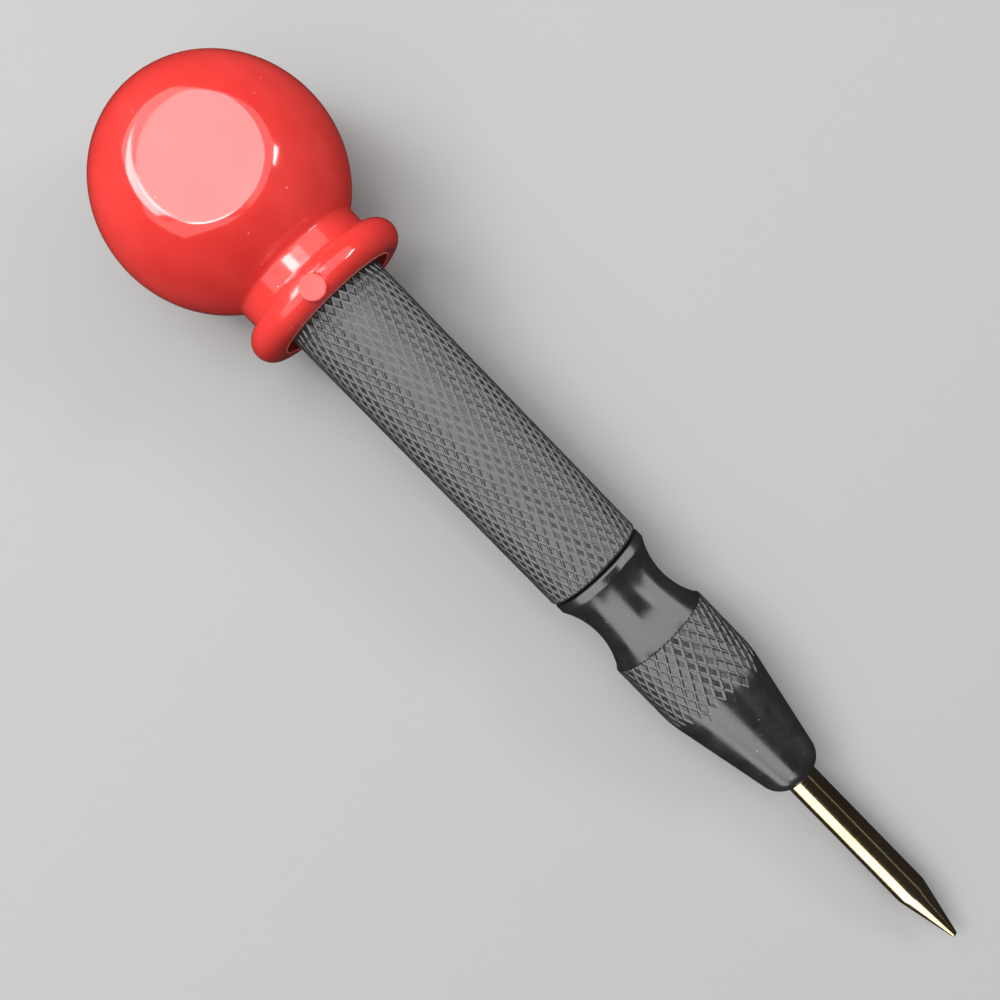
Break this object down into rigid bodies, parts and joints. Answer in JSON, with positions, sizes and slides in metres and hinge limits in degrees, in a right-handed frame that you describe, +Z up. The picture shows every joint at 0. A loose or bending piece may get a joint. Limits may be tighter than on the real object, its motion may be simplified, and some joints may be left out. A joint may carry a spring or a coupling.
{
  "type": "automatic centre punch",
  "caption": "Spring-loaded automatic centre punch with a knurled black body, a gold-coloured point and a red ball-shaped cushion cap.",
  "frame": {"origin": "on the surface that the tool lies on, under the middle of its bounding box", "axes": "+X runs along the surface from the point towards the ball, +Z is up, away from the surface; the tool's own axis leans 4.66 degrees up from +X"},
  "size_m": [0.1596, 0.0332, 0.0303],
  "materials": {
    "gold_steel": "polished, gold-coloured hard coating on steel",
    "steel": "turned and hardened, lightly oiled",
    "spring_steel": "drawn wire",
    "black_metal": "glossy black plated steel, knurled on the grips",
    "red_plastic": "glossy moulded red"
  },
  "bodies": {
    "housing": {"nose_housing": "black_metal", "centring_bush": "steel", "pin_spring": "spring_steel"},
    "plunger": {"punch_point": "gold_steel", "point_holder": "steel"},
    "pin": {"trip_pin": "steel"},
    "striker": {"hammer": "steel"},
    "seat": {"spring_seat": "steel", "main_spring": "spring_steel"},
    "sleeve": {"grip_barrel": "black_metal", "ball_cap": "red_plastic"}
  },
  "joints": [
    {"name": "point_slide", "type": "slide", "parent": "housing", "child": "plunger", "axis": [0.9967, 0, 0.0812], "range_m": [0, 0.009], "stiffness_N_per_m": 400, "springref_m": -0.006, "deforming": ["pin_spring"]},
    {"name": "pin_tilt", "type": "hinge", "parent": "plunger", "child": "pin", "pos_m": [-0.02672, 0, 0.00785], "axis": [0, -1, 0], "range_deg": [0, 1.75]},
    {"name": "hammer_slide", "type": "slide", "parent": "housing", "child": "striker", "axis": [0.9967, 0, 0.0812], "range_m": [0, 0.009], "stiffness_N_per_m": 8000, "springref_m": -0.006, "deforming": ["main_spring"]},
    {"name": "sleeve_travel", "type": "slide", "parent": "housing", "child": "seat", "axis": [0.9967, 0, 0.0812], "range_m": [0, 0.00625], "deforming": ["main_spring"]},
    {"name": "sleeve_turn", "type": "hinge", "parent": "seat", "child": "sleeve", "pos_m": [0.05451, 0, 0.01448], "axis": [0.9967, 0, 0.0812], "range_deg": [0, 1800]}
  ],
  "couplings": [
    {"joint": "pin_tilt", "follows": "point_slide", "rad_per_m": 3.3936},
    {"joint": "hammer_slide", "follows": "point_slide", "ratio": 1},
    {"joint": "sleeve_travel", "follows": "sleeve_turn", "m_per_rad": 0.00019894}
  ]
}
